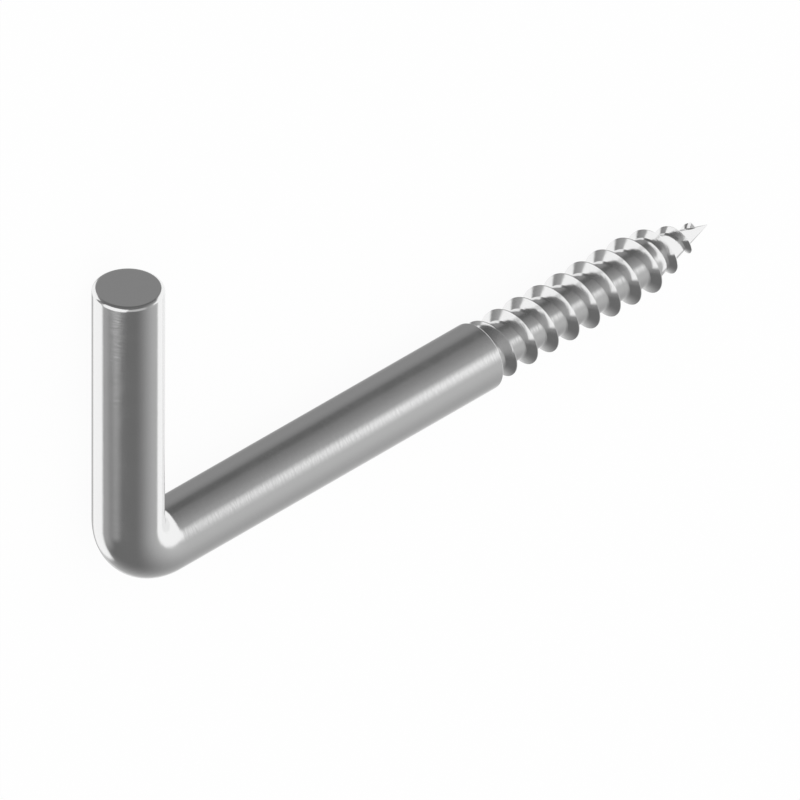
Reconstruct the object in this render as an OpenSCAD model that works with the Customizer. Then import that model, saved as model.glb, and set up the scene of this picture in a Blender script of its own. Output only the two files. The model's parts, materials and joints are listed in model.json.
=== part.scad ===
// L-hook screw: one round rod, bent square into a hook arm and a long shank.
// The far end of the shank carries a coarse right-hand wood thread that runs
// down a slender conical point. The screw lies on its side, as it rests on a
// table: the shank points along +X and the arm along +Y.

/* [Rod] */
// Diameter of the rod
rod_d = 6; // [5.6:0.1:12]
// Overall length, from the outer side of the arm to the point
overall_length = 70.6; // [40:0.1:140]
// Overall height of the hook, from the outer side of the shank to the end of the arm
hook_height = 30; // [10:0.1:80]
// Radius on the inside of the bend
bend_inner_r = 0.95; // [0.2:0.05:12]
// Rounding of the edge at the end of the arm
end_round = 0.37; // [0.05:0.01:2]

/* [Thread] */
// Length of the threaded part, from the shoulder to the point
thread_length = 27; // [15:0.1:55]
// Outer diameter of the thread
thread_d = 5.5; // [4.4:0.05:5.9]
// Diameter of the core between the turns
core_d = 3.88; // [2.6:0.02:4.6]
// Advance of the thread in one turn
pitch = 2.43; // [2.2:0.01:4]
// Width of the flat that tops the thread
crest_w = 0.08; // [0.04:0.01:0.3]
// Angle of each flank to a plane across the shank
flank_angle = 30; // [15:1:35]
// Rounding of the shoulder's edge where the full rod ends
shoulder_round = 0.1; // [0.05:0.01:0.2]
// Angle of the shoulder's face to a plane across the shank
shoulder_angle = 30; // [5:1:35]
// Turn from the arm's side to where the crest leaves the shoulder
start_turn = 187; // [0:1:359]

/* [Point] */
// Full angle of the conical point
point_angle = 30; // [24:1:50]
// Full angle of the cone on which the last crests lie
crest_cone_angle = 35.2; // [30:0.2:50]
// Length of crests on that cone, from where they start to drop to the point
crest_taper = 7.56; // [6:0.02:9]
// Length of bare point ahead of the thread
bare_point = 1.5; // [1:0.1:3]
// Turn over which the end of the thread dies away
runout_turn = 24; // [12:6:90]

/* [Hidden] */

$fn = 96;
// Facets in one turn of the thread
turn_facets = 60;

rod_r = rod_d / 2;
bend_r = bend_inner_r + rod_r;
arm_end = hook_height - rod_r;
point_x = overall_length - rod_r;
shoulder_x = point_x - thread_length;

thread_r = thread_d / 2;
core_r = core_d / 2;
taper_x = point_x - crest_taper;

// The thread starts out of sight inside the shank, a little over a turn back
buried_turns = 1.2;
first_turn = start_turn - 360 * buried_turns;
step_turn = 360 / turn_facets;
step_x = pitch / turn_facets;
first_x = shoulder_x - pitch * buried_turns;
steps = round((point_x - bare_point - first_x) / step_x);
runout_steps = runout_turn / step_turn;
corners = 4;

// Core and crest radius at a place along the shank
function core_radius(x) = min(core_r, (point_x - x) * tan(point_angle / 2));
function crest_radius(x) = thread_r - max(0, x - taper_x) * tan(crest_cone_angle / 2);

// Ridge height at a step, dying away over the last steps
function ridge_height(x, step) =
    (crest_radius(x) - core_radius(x)) * min(1, (steps - step + 1) / (runout_steps + 1));

// Section of the ridge at a step: foot, two crest edges, foot, as [x, radius]
function ridge_section(x, height) =
    let (half = crest_w / 2)
    let (foot = half + height * tan(flank_angle))
    [for (offset = [-foot, -half, half, foot])
        [x + offset, core_radius(x + offset) + (abs(offset) == half ? height : 0)]];

// The section turned to its place on the helix
function ridge_points(step) =
    let (x = first_x + step * step_x)
    let (turn = first_turn + step * step_turn)
    [for (p = ridge_section(x, ridge_height(x, step)))
        [p[0], p[1] * cos(turn), p[1] * sin(turn)]];

// Two triangles over the four corners of a strip
function strip(a, b, c, d) = [[a, b, c], [a, c, d]];

// The threaded rod end as one closed skin. Corner j of step i is point i * corners + j.
// The core between two turns joins the tip-side foot of one to the hook-side foot of the next.
module thread() {
    count = (steps + 1) * corners;
    last = steps * corners;
    turn = turn_facets * corners;
    last_foot = last + corners - 1;
    turn_foot = last_foot - turn;
    tip = count;
    base = count + 1;
    points = concat(
        [for (step = [0 : steps]) each ridge_points(step)],
        [[point_x, 0, 0], [first_x - pitch / 2, 0, 0]]
    );
    ridge = [for (i = [0 : corners : last - corners]) for (j = [0 : corners - 2])
        each strip(i + j, i + j + 1, i + j + 1 + corners, i + j + corners)];
    core = [for (i = [0 : corners : last - turn - corners])
        each strip(i + corners - 1, i + turn, i + turn + corners, i + 2 * corners - 1)];
    cone = [for (foot = [turn_foot + corners : corners : last_foot - corners])
        [foot, tip, foot + corners]];
    back = [for (i = [0 : corners : turn - corners]) [base, i, i + corners]];
    // Next to the ridge's end, the cone's first sector closes on the points of that line
    ends = concat(
        [for (pair = [[turn_foot, last], [last, last_foot], [last_foot, tip]])
            [pair[0], pair[1], turn_foot + corners]],
        strip(last, last + 1, last + 2, last + 3),
        strip(0, 3, 2, 1),
        [[base, 3, 0], [base, turn, 3]]
    );
    polyhedron(points, concat(ridge, core, cone, back, ends));
}

// Half outline of a rod end with a rounded edge, its end at the given length
module rounded_half(length, edge) {
    square([rod_r - edge, length]);
    square([rod_r, length - edge]);
    translate([rod_r - edge, length - edge])
        circle(edge);
}

// Short leg that holds what hangs on the hook
module arm() {
    translate([0, bend_r, 0])
        rotate([-90, 0, 0])
            rotate_extrude()
                rounded_half(arm_end - bend_r, end_round);
}

// Quarter turn between the arm and the shank
module bend() {
    translate([bend_r, bend_r, 0])
        rotate([0, 0, 180])
            rotate_extrude(angle = 90)
                translate([bend_r, 0])
                    circle(rod_r);
}

// Half outline of the shoulder's cone, from where it touches the rounded edge to its tip
module shoulder_half(length) {
    touch_r = rod_r - shoulder_round * (1 - sin(shoulder_angle));
    touch = length - shoulder_round * (1 - cos(shoulder_angle));
    cone_tip = touch + touch_r * tan(shoulder_angle);
    polygon([[0, 0], [touch_r, 0], [touch_r, touch], [0, cone_tip]]);
}

// Plain length of rod up to the shoulder, whose face leans forward to the core
module shank() {
    length = shoulder_x - bend_r;
    translate([bend_r, 0, 0])
        rotate([0, 90, 0])
            rotate_extrude() {
                rounded_half(length, shoulder_round);
                shoulder_half(length);
            }
}

module hook_screw() {
    color("silver")
        translate([rod_r - overall_length / 2, rod_r - hook_height / 2, rod_r]) {
            arm();
            bend();
            shank();
            thread();
        }
}

hook_screw();
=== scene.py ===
import json
import math

import bmesh
import bpy
from mathutils import Matrix, Vector


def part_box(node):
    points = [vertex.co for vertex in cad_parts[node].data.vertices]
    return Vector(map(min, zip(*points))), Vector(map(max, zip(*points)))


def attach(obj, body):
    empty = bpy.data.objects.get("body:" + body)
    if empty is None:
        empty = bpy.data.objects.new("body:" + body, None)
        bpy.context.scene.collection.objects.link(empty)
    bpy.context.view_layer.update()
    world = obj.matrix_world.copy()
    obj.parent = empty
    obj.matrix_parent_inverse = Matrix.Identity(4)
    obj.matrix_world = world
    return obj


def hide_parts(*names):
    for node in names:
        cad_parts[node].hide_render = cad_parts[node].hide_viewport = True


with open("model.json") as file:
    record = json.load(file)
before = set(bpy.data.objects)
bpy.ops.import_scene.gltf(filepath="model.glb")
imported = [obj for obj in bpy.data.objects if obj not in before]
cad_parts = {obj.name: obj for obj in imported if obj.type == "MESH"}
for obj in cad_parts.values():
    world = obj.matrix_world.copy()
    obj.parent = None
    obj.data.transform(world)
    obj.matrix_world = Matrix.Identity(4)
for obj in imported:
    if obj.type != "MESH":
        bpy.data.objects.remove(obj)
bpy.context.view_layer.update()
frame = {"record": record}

NODE = "hook_screw"
BODY = "root"
STEEL_SLOT = "bright_steel"
MM = 0.001
FULL_TURN = 360.0

# Sizes of the rod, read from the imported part
LOW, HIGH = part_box(NODE)
MOUNTS = {mount["name"]: mount for mount in frame["record"]["mounts"]}
ROD_R = MOUNTS["shank"]["dims"]["r_mm"] * MM
CORNER = LOW + Vector((ROD_R, ROD_R, ROD_R))
ARM_END = HIGH.y - CORNER.y
POINT_X = HIGH.x - CORNER.x
SHOULDER_X = MOUNTS["thread"]["pos_m"][0] - CORNER.x

# Sizes of the small forms, as in the part's source
BEND_INNER_R = 0.95 * MM
BEND_R = BEND_INNER_R + ROD_R
END_ROUND = 0.37 * MM
SHOULDER_ROUND = 0.1 * MM
SHOULDER_ANGLE = math.radians(30)
THREAD_R = 2.75 * MM
CORE_R = 1.94 * MM
PITCH = 2.43 * MM
CREST_HALF = 0.04 * MM
FLANK_SLOPE = math.tan(math.radians(30))
START_TURN = 187.0
POINT_SLOPE = math.tan(math.radians(15))
CREST_CONE_SLOPE = math.tan(math.radians(17.6))
CREST_TAPER = 7.56 * MM
BARE_POINT = 1.5 * MM
RUNOUT_TURN = 24.0
# The thread starts out of sight inside the rod, a little over a turn back
BURIED_TURNS = 1.2

# Fineness of the skin
ROD_SIDES = 240
BEND_STEPS = 90
ROUND_STEPS = 12
TURN_STEPS = 180
FLANK_STEPS = 4
CORE_STEPS = 4
SHARP_ANGLE = math.radians(28)
# Rings on the arm's flat end, as shares of its radius
CAP_RADII = (0.02, 0.35, 0.7, 0.9, 0.98)
# Points along the bare cone, as shares of the way to its tip
CONE_SHARES = (0.4, 0.7, 0.88, 0.96, 0.99)
# Points nearer to the shoulder's cut than this lie on it
CUT_TOLERANCE = 1e-9

# Attribute that keeps where each point lies on the rod before bending, in millimetres
STRAIGHT = "straight_mm"

# Where the shoulder's leaning face touches its rounded edge
TOUCH_R = ROD_R - SHOULDER_ROUND * (1 - math.sin(SHOULDER_ANGLE))
TOUCH_X = SHOULDER_X - SHOULDER_ROUND * (1 - math.cos(SHOULDER_ANGLE))

# Length of rod before the shank's own zero, once it is straightened
STRAIGHT_START = ARM_END - BEND_R + BEND_R * math.pi / 2 - BEND_R

# The photograph's camera
VIEW_BACK = Vector((-0.5782, 0.5786, 0.5753)).normalized()
VIEW_UP = Vector((0.4060, 0.8156, -0.4122))
VIEW_CENTRE = Vector((-11.32, -1.38, 13.46)) * MM
VIEW_WIDTH = 65.6 * MM
LENS = 1700.0
SENSOR = 36.0


def angles(last, steps):
    """Even steps from nothing to the last angle."""
    return [last * i / steps for i in range(steps + 1)]


def between(a, b, share):
    """The point at a share of the way from one point to another."""
    return tuple(p + (q - p) * share for p, q in zip(a, b))


def quads(bm, left, right):
    """Faces between two rows of points."""
    for a, b, c, d in zip(left, left[1:], right[1:], right):
        bm.faces.new((a, b, c, d))


# The rod

def arm_end_rings():
    """Rings of the flat end and its rounded edge: centre, inward side, radius."""
    inward, along = Vector((1, 0, 0)), Vector((0, 1, 0))
    flat = ROD_R - END_ROUND
    rings = [(along * ARM_END, inward, flat * share) for share in CAP_RADII]
    for angle in angles(math.pi / 2, ROUND_STEPS):
        centre = along * (ARM_END - END_ROUND * (1 - math.cos(angle)))
        rings.append((centre, inward, flat + END_ROUND * math.sin(angle)))
    return rings


def bend_rings():
    """Rings of the quarter turn, from the arm to the shank."""
    pivot = Vector((BEND_R, BEND_R, 0))
    inwards = [Vector((math.cos(a), math.sin(a), 0)) for a in angles(math.pi / 2, BEND_STEPS)]
    return [(pivot - inward * BEND_R, inward, ROD_R) for inward in inwards]


def shoulder_rings():
    """Rings of the shoulder's rounded edge."""
    inward = Vector((0, 1, 0))
    rings = []
    for angle in angles(math.pi / 2 - SHOULDER_ANGLE, ROUND_STEPS):
        ahead = SHOULDER_X - SHOULDER_ROUND * (1 - math.sin(angle))
        radius = ROD_R - SHOULDER_ROUND * (1 - math.cos(angle))
        rings.append((Vector((ahead, 0, 0)), inward, radius))
    return rings


def ring_points(centre, inward, radius):
    """Points round a ring, turning from its inward side towards +Z."""
    turns = [math.tau * i / ROD_SIDES for i in range(ROD_SIDES)]
    up = Vector((0, 0, 1))
    return [centre + (inward * math.cos(t) + up * math.sin(t)) * radius for t in turns]


def add_rod(bm):
    """The rod from the middle of its flat end to the shoulder's edge, left open there."""
    rings = arm_end_rings() + bend_rings() + shoulder_rings()
    rows = [[bm.verts.new(p) for p in ring_points(*ring)] for ring in rings]
    bm.faces.new(rows[0])
    for row, following in zip(rows, rows[1:]):
        quads(bm, row + row[:1], following + following[:1])


# The thread

def core_radius(x):
    return min(CORE_R, (POINT_X - x) * POINT_SLOPE)


def crest_radius(x):
    return THREAD_R - max(0.0, x - (POINT_X - CREST_TAPER)) * CREST_CONE_SLOPE


def ridge_section(x, height):
    """The ridge from foot to foot over its crest, as (x, radius) from the hook's side on."""
    half = CREST_HALF + height * FLANK_SLOPE
    corners = [(x + side * half, core_radius(x + side * half)) for side in (-1, 1)]
    tops = [(x + side * CREST_HALF, core_radius(x + side * CREST_HALF) + height)
            for side in (-1, 1)]
    shares = [i / FLANK_STEPS for i in range(FLANK_STEPS + 1)]
    rise = [between(corners[0], tops[0], share) for share in shares]
    fall = [between(tops[1], corners[1], share) for share in shares]
    return rise + fall


def thread_columns():
    """Sections of the ridge along the helix, as points round the shank's axis."""
    first_x = SHOULDER_X - PITCH * BURIED_TURNS
    first_turn = START_TURN - FULL_TURN * BURIED_TURNS
    steps = round((POINT_X - BARE_POINT - first_x) / PITCH * TURN_STEPS)
    runout = RUNOUT_TURN / FULL_TURN * TURN_STEPS
    columns = []
    for step in range(steps + 1):
        x = first_x + PITCH * step / TURN_STEPS
        turn = math.radians(first_turn + FULL_TURN * step / TURN_STEPS)
        fade = min(1.0, (steps - step + 1) / (runout + 1))
        height = (crest_radius(x) - core_radius(x)) * fade
        columns.append([Vector((px, r * math.cos(turn), r * math.sin(turn)))
                        for px, r in ridge_section(x, height)])
    return columns


def core_row(bm, foot, next_foot):
    """Points from one turn's foot to the next turn's, on the core's own radius."""
    row = [foot]
    for step in range(1, CORE_STEPS):
        x, y, z = foot.co.lerp(next_foot.co, step / CORE_STEPS)
        out = core_radius(x) / math.hypot(y, z)
        row.append(bm.verts.new((x, y * out, z * out)))
    return row + [next_foot]


def add_thread(bm):
    """The ridge, the core between its turns and the bare cone, open at the buried end."""
    columns = [[bm.verts.new(p) for p in column] for column in thread_columns()]
    cores = [core_row(bm, column[-1], columns[i + TURN_STEPS][0])
             for i, column in enumerate(columns[:-TURN_STEPS])]
    tip = bm.verts.new((POINT_X, 0, 0))
    cones = [[column[-1]] + [bm.verts.new(column[-1].co.lerp(tip.co, s)) for s in CONE_SHARES]
             for column in columns[-TURN_STEPS:]]
    for rows in (columns, cores, cones):
        for row, following in zip(rows, rows[1:]):
            quads(bm, row, following)
    for row, following in zip(cones, cones[1:]):
        bm.faces.new((row[-1], tip, following[-1]))
    bm.faces.new(columns[-1])
    # The last turn closes on the line that holds the ridge's last two feet and the tip
    bm.faces.new(cores[-1] + cones[-1] + [tip] + cones[0][::-1])


def lean(verts, share):
    """Shifts points along the shank as far as the shoulder's face leans at their radius."""
    for vert in verts:
        inward = TOUCH_R - math.hypot(vert.co.y, vert.co.z)
        vert.co.x += share * inward * math.tan(SHOULDER_ANGLE)


def cut_at_shoulder(bm):
    """Takes off the part of the thread that lies inside the rod."""
    everything = bm.verts[:] + bm.edges[:] + bm.faces[:]
    bmesh.ops.bisect_plane(bm, geom=everything, dist=CUT_TOLERANCE,
                           plane_co=(TOUCH_X, 0, 0), plane_no=(1, 0, 0), clear_inner=True)


def fill_shoulder(bm):
    """The face between the rod's edge and the outline of the thread."""
    edges = [edge for edge in bm.edges if edge.is_boundary]
    bmesh.ops.triangle_fill(bm, edges=edges, use_beauty=True, normal=(1, 0, 0))


def straightened(x, y, z):
    """Where a point of the part lies on the rod before bending: run, inward side, side."""
    if y > BEND_R:
        return ARM_END - y, x, z
    if x > BEND_R:
        return STRAIGHT_START + x, y, z
    out_x, out_y = BEND_R - x, BEND_R - y
    run = ARM_END - BEND_R + BEND_R * math.atan2(out_y, out_x)
    return run, BEND_R - math.hypot(out_x, out_y), z


def make_screw():
    """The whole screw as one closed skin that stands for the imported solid."""
    bm = bmesh.new()
    add_thread(bm)
    # The shoulder's face is cut and filled while it is flat, and gets its lean afterwards
    lean(bm.verts, -1)
    cut_at_shoulder(bm)
    thread = bm.verts[:]
    add_rod(bm)
    fill_shoulder(bm)
    lean(thread, 1)
    bmesh.ops.recalc_face_normals(bm, faces=bm.faces)
    mesh = bpy.data.meshes.new("screw_skin")
    bm.to_mesh(mesh)
    bm.free()
    rest = mesh.attributes.new(STRAIGHT, "FLOAT_VECTOR", "POINT")
    for vert, value in zip(mesh.vertices, rest.data):
        value.vector = [size / MM for size in straightened(*vert.co)]
    mesh.transform(Matrix.Translation(CORNER))
    mesh.shade_smooth()
    mesh.set_sharp_from_angle(angle=SHARP_ANGLE)
    screw = bpy.data.objects.new("screw_skin", mesh)
    bpy.context.scene.collection.objects.link(screw)
    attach(screw, BODY)
    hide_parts(NODE)
    return screw


# Materials

def new_node(tree, kind, inputs=None, **settings):
    """A node with its settings made and its inputs linked or set."""
    node = tree.nodes.new(kind)
    for name, value in settings.items():
        setattr(node, name, value)
    for name, value in (inputs or {}).items():
        if isinstance(value, bpy.types.NodeSocket):
            tree.links.new(value, node.inputs[name])
        else:
            node.inputs[name].default_value = value
    return node


def math_node(tree, operation, *values):
    return new_node(tree, "ShaderNodeMath", dict(enumerate(values)),
                    operation=operation).outputs[0]


def new_material(name):
    material = bpy.data.materials.new(name)
    material.use_nodes = True
    tree = material.node_tree
    tree.nodes.clear()
    output = tree.nodes.new("ShaderNodeOutputMaterial")
    return material, tree, output


# How fine the steel's noise is along the rod and across it, per millimetre
DRAWN = (0.8, 5.0, 5.0)
RIPPLED = (4.0, 1.2, 1.2)
ROLLED = (5.0, 0.5, 0.5)
CLOUDS = (0.6, 0.6, 0.6)
LINE_DETAIL = 3.0
CLOUD_DETAIL = 2.0
# Depth of the drawn lines, and how much deeper the ripples and the rolled lines are
LINE_DEPTH = 0.0018 * MM
RIPPLE_DEPTH = 3.0
ROLLED_DEPTH = 4.0
# The range of the clouds that changes the roughness, and the roughness at its ends
CLOUD_LOW, CLOUD_HIGH = 0.3, 0.7
SMOOTHEST, ROUGHEST = 0.12, 0.16
STEEL_GREY = (0.88, 0.88, 0.88, 1)

# Half the side of the floor, in metres
FLOOR_HALF = 4.0
FLOOR_GREY = (0.9, 0.9, 0.9, 1)
# Share of plain white in what the camera sees of the floor
FLOOR_WHITE = 0.94
WHITE = (1, 1, 1, 1)


def noise(tree, place, stretch, detail):
    stretched = new_node(tree, "ShaderNodeVectorMath", {0: place, 1: stretch},
                         operation="MULTIPLY").outputs["Vector"]
    return new_node(tree, "ShaderNodeTexNoise", {"Vector": stretched, "Scale": 1.0,
                                                 "Detail": detail}).outputs["Fac"]


def steel():
    """Bright steel: faint lines drawn along the rod, and rolled round it on the thread."""
    material, tree, output = new_material(STEEL_SLOT)
    rod = new_node(tree, "ShaderNodeAttribute", attribute_name=STRAIGHT).outputs["Vector"]
    run = new_node(tree, "ShaderNodeSeparateXYZ", {"Vector": rod}).outputs["X"]
    threaded = math_node(tree, "GREATER_THAN", run, (STRAIGHT_START + SHOULDER_X) / MM)
    drawn, rippled, rolled = (noise(tree, rod, stretch, LINE_DETAIL)
                              for stretch in (DRAWN, RIPPLED, ROLLED))
    drawn = math_node(tree, "MULTIPLY_ADD", rippled, RIPPLE_DEPTH, drawn)
    rolled = math_node(tree, "MULTIPLY", rolled, ROLLED_DEPTH)
    lines = new_node(tree, "ShaderNodeMix", {"Factor": threaded, "A": drawn, "B": rolled},
                     data_type="FLOAT").outputs[0]
    clouds = noise(tree, rod, CLOUDS, CLOUD_DETAIL)
    rough = new_node(tree, "ShaderNodeMapRange",
                     {"Value": clouds, "From Min": CLOUD_LOW, "From Max": CLOUD_HIGH,
                      "To Min": SMOOTHEST, "To Max": ROUGHEST}).outputs["Result"]
    bump = new_node(tree, "ShaderNodeBump", {"Height": lines, "Strength": 1.0,
                                             "Distance": LINE_DEPTH}).outputs["Normal"]
    shader = new_node(tree, "ShaderNodeBsdfPrincipled",
                      {"Base Color": STEEL_GREY, "Metallic": 1.0, "Roughness": rough,
                       "Normal": bump})
    tree.links.new(shader.outputs[0], output.inputs["Surface"])
    return material


def floor_material():
    """Pale matt floor that the camera sees nearly white, with the object's shadow on it."""
    material, tree, output = new_material("pale_floor")
    matt = new_node(tree, "ShaderNodeBsdfDiffuse", {"Color": FLOOR_GREY}).outputs[0]
    glow = new_node(tree, "ShaderNodeEmission", {"Color": WHITE, "Strength": 1.0}).outputs[0]
    camera = new_node(tree, "ShaderNodeLightPath").outputs["Is Camera Ray"]
    share = math_node(tree, "MULTIPLY", camera, FLOOR_WHITE)
    mix = new_node(tree, "ShaderNodeMixShader", {"Fac": share, 1: matt, 2: glow})
    tree.links.new(mix.outputs[0], output.inputs["Surface"])
    return material


def make_floor():
    mesh = bpy.data.meshes.new("floor")
    sides = ((-1, -1), (1, -1), (1, 1), (-1, 1))
    corners = [(x * FLOOR_HALF, y * FLOOR_HALF, 0) for x, y in sides]
    mesh.from_pydata(corners, [], [(0, 1, 2, 3)])
    floor = bpy.data.objects.new("floor", mesh)
    bpy.context.scene.collection.objects.link(floor)
    mesh.materials.append(floor_material())
    floor.visible_glossy = False


# The studio

def part_along(tree, direction, axis):
    """How far a direction points along an axis."""
    return new_node(tree, "ShaderNodeVectorMath", {0: direction, 1: axis},
                    operation="DOT_PRODUCT").outputs["Value"]


def faded(tree, value, full, gone):
    """One up to the full value, nothing beyond the gone value."""
    return new_node(tree, "ShaderNodeMapRange",
                    {"Value": value, "From Min": full, "From Max": gone, "To Min": 1.0,
                     "To Max": 0.0}, interpolation_type="SMOOTHSTEP").outputs["Result"]


def in_room(azimuth, elevation):
    """A direction in the room, which stands on its side as the screw does."""
    turn, rise = math.radians(azimuth), math.radians(elevation)
    return Vector((math.cos(rise) * math.cos(turn), math.sin(rise),
                   -math.cos(rise) * math.sin(turn)))


# Soft glows on the grey walls: azimuth, elevation, inner angle, fade, brightness
GLOWS = (
    (-34, -6, 4, 76, 0.53),   # right of the point
    (48, -28, 0, 78, 0.68),   # behind the screw, low
    (66, 8, 15, 46, 0.27),    # behind the hook
)

# White walls and soft boxes, as if seen from the middle of the room at a distance of one:
# azimuth, elevation, roll, half width, half height, softness of the sides and of the ends,
# brightness
BOXES = (
    (144, -12, -7, 0.30, 0.80, 0.30, 0.30, 0.36),   # dim panel on the left
    (-175, -34, 0, 0.19, 0.10, 0.18, 0.07, 0.29),   # dim strip, low on the left
    (-113, 12, 0, 0.62, 0.50, 0.20, 0.20, 0.50),    # grey panel beside the camera
    (22, -27, 0, 0.26, 0.28, 0.08, 0.12, 0.90),     # low box behind the shank
    (-2, 2, -23, 0.83, 0.82, 0.11, 0.09, 1.00),     # white wall that the point looks at
    (113, -30, 25, 0.39, 0.60, 0.09, 0.08, 1.00),   # low white wall, left behind the hook
    (90, 6, 0, 0.52, 0.72, 0.07, 0.09, 1.00),       # tall white wall behind the hook
    (-176, 9, 2, 0.78, 0.78, 0.07, 0.10, 1.00),     # white wall left of the camera
    (48, -48, 8, 0.20, 0.12, 0.15, 0.10, 0.75),     # small box low behind the screw
    (-46, 13, 2, 0.13, 0.19, 0.10, 0.18, 1.00),     # small box that streaks the shank
)

# Dark patches in front of the walls, given as the glows are
SHADES = (
    (24, 52, 3, 14, 0.12),    # high behind the shank
    (54, -35, 4, 6, 0.28),    # straight behind the screw, for its thin grey outline
    (50, 64, 8, 14, 0.12),    # high behind the hook
)
WALL_LIGHT = 0.15
# A box shows only in directions that point towards it by at least this much
AHEAD = 0.02


def glow_mask(tree, direction, azimuth, elevation, inner, fade):
    middle = part_along(tree, direction, in_room(azimuth, elevation))
    off = math_node(tree, "DEGREES", math_node(tree, "ARCCOSINE", middle))
    return faded(tree, off, inner, inner + fade)


def box_mask(tree, direction, azimuth, elevation, roll, width, height, soft_side, soft_end):
    """Share of a soft box in a direction: one inside it, nothing beyond its soft edges."""
    ahead = in_room(azimuth, elevation)
    right = in_room(azimuth - 90, 0)
    up = right.cross(ahead)
    turn = math.radians(roll)
    across = right * math.cos(turn) + up * math.sin(turn)
    upward = up * math.cos(turn) - right * math.sin(turn)
    depth = part_along(tree, direction, ahead)
    masks = [math_node(tree, "GREATER_THAN", depth, AHEAD)]
    for axis, half, soft in ((across, width, soft_side), (upward, height, soft_end)):
        off = math_node(tree, "DIVIDE", part_along(tree, direction, axis), depth)
        masks.append(faded(tree, math_node(tree, "ABSOLUTE", off), half - soft, half + soft))
    return math_node(tree, "MULTIPLY", masks[0], math_node(tree, "MULTIPLY", *masks[1:]))


def studio():
    """A grey room with white walls and soft boxes in it."""
    world = bpy.data.worlds.new("studio")
    bpy.context.scene.world = world
    world.use_nodes = True
    tree = world.node_tree
    tree.nodes.clear()
    output = tree.nodes.new("ShaderNodeOutputWorld")
    direction = new_node(tree, "ShaderNodeTexCoord").outputs["Generated"]
    masks = [(glow_mask(tree, direction, *glow[:-1]), glow[-1]) for glow in GLOWS]
    masks += [(box_mask(tree, direction, *box[:-1]), box[-1]) for box in BOXES]
    masks += [(glow_mask(tree, direction, *shade[:-1]), shade[-1]) for shade in SHADES]
    light = WALL_LIGHT
    for mask, brightness in masks:
        light = new_node(tree, "ShaderNodeMix", {"Factor": mask, "A": light, "B": brightness},
                         data_type="FLOAT").outputs[0]
    path = new_node(tree, "ShaderNodeLightPath").outputs
    mirrored = math_node(tree, "ADD", path["Is Glossy Ray"], path["Is Transmission Ray"])
    strength = new_node(tree, "ShaderNodeMix", {"Factor": mirrored, "A": 1.0, "B": light},
                        data_type="FLOAT").outputs[0]
    background = new_node(tree, "ShaderNodeBackground",
                          {"Color": WHITE, "Strength": strength})
    tree.links.new(background.outputs[0], output.inputs["Surface"])


def make_camera():
    """A long lens in the photograph's direction, as that shows no perspective."""
    data = bpy.data.cameras.new("camera")
    data.lens, data.sensor_width = LENS, SENSOR
    distance = VIEW_WIDTH * LENS / SENSOR
    data.clip_start, data.clip_end = distance / 10, distance * 10
    camera = bpy.data.objects.new("camera", data)
    bpy.context.scene.collection.objects.link(camera)
    right = VIEW_UP.cross(VIEW_BACK).normalized()
    up = VIEW_BACK.cross(right)
    turn = Matrix((right, up, VIEW_BACK)).transposed().to_4x4()
    camera.matrix_world = Matrix.Translation(VIEW_CENTRE + VIEW_BACK * distance) @ turn
    bpy.context.scene.camera = camera


screw = make_screw()
screw.data.materials.append(steel())
make_floor()
studio()
make_camera()
bpy.context.scene.view_settings.view_transform = "Standard"
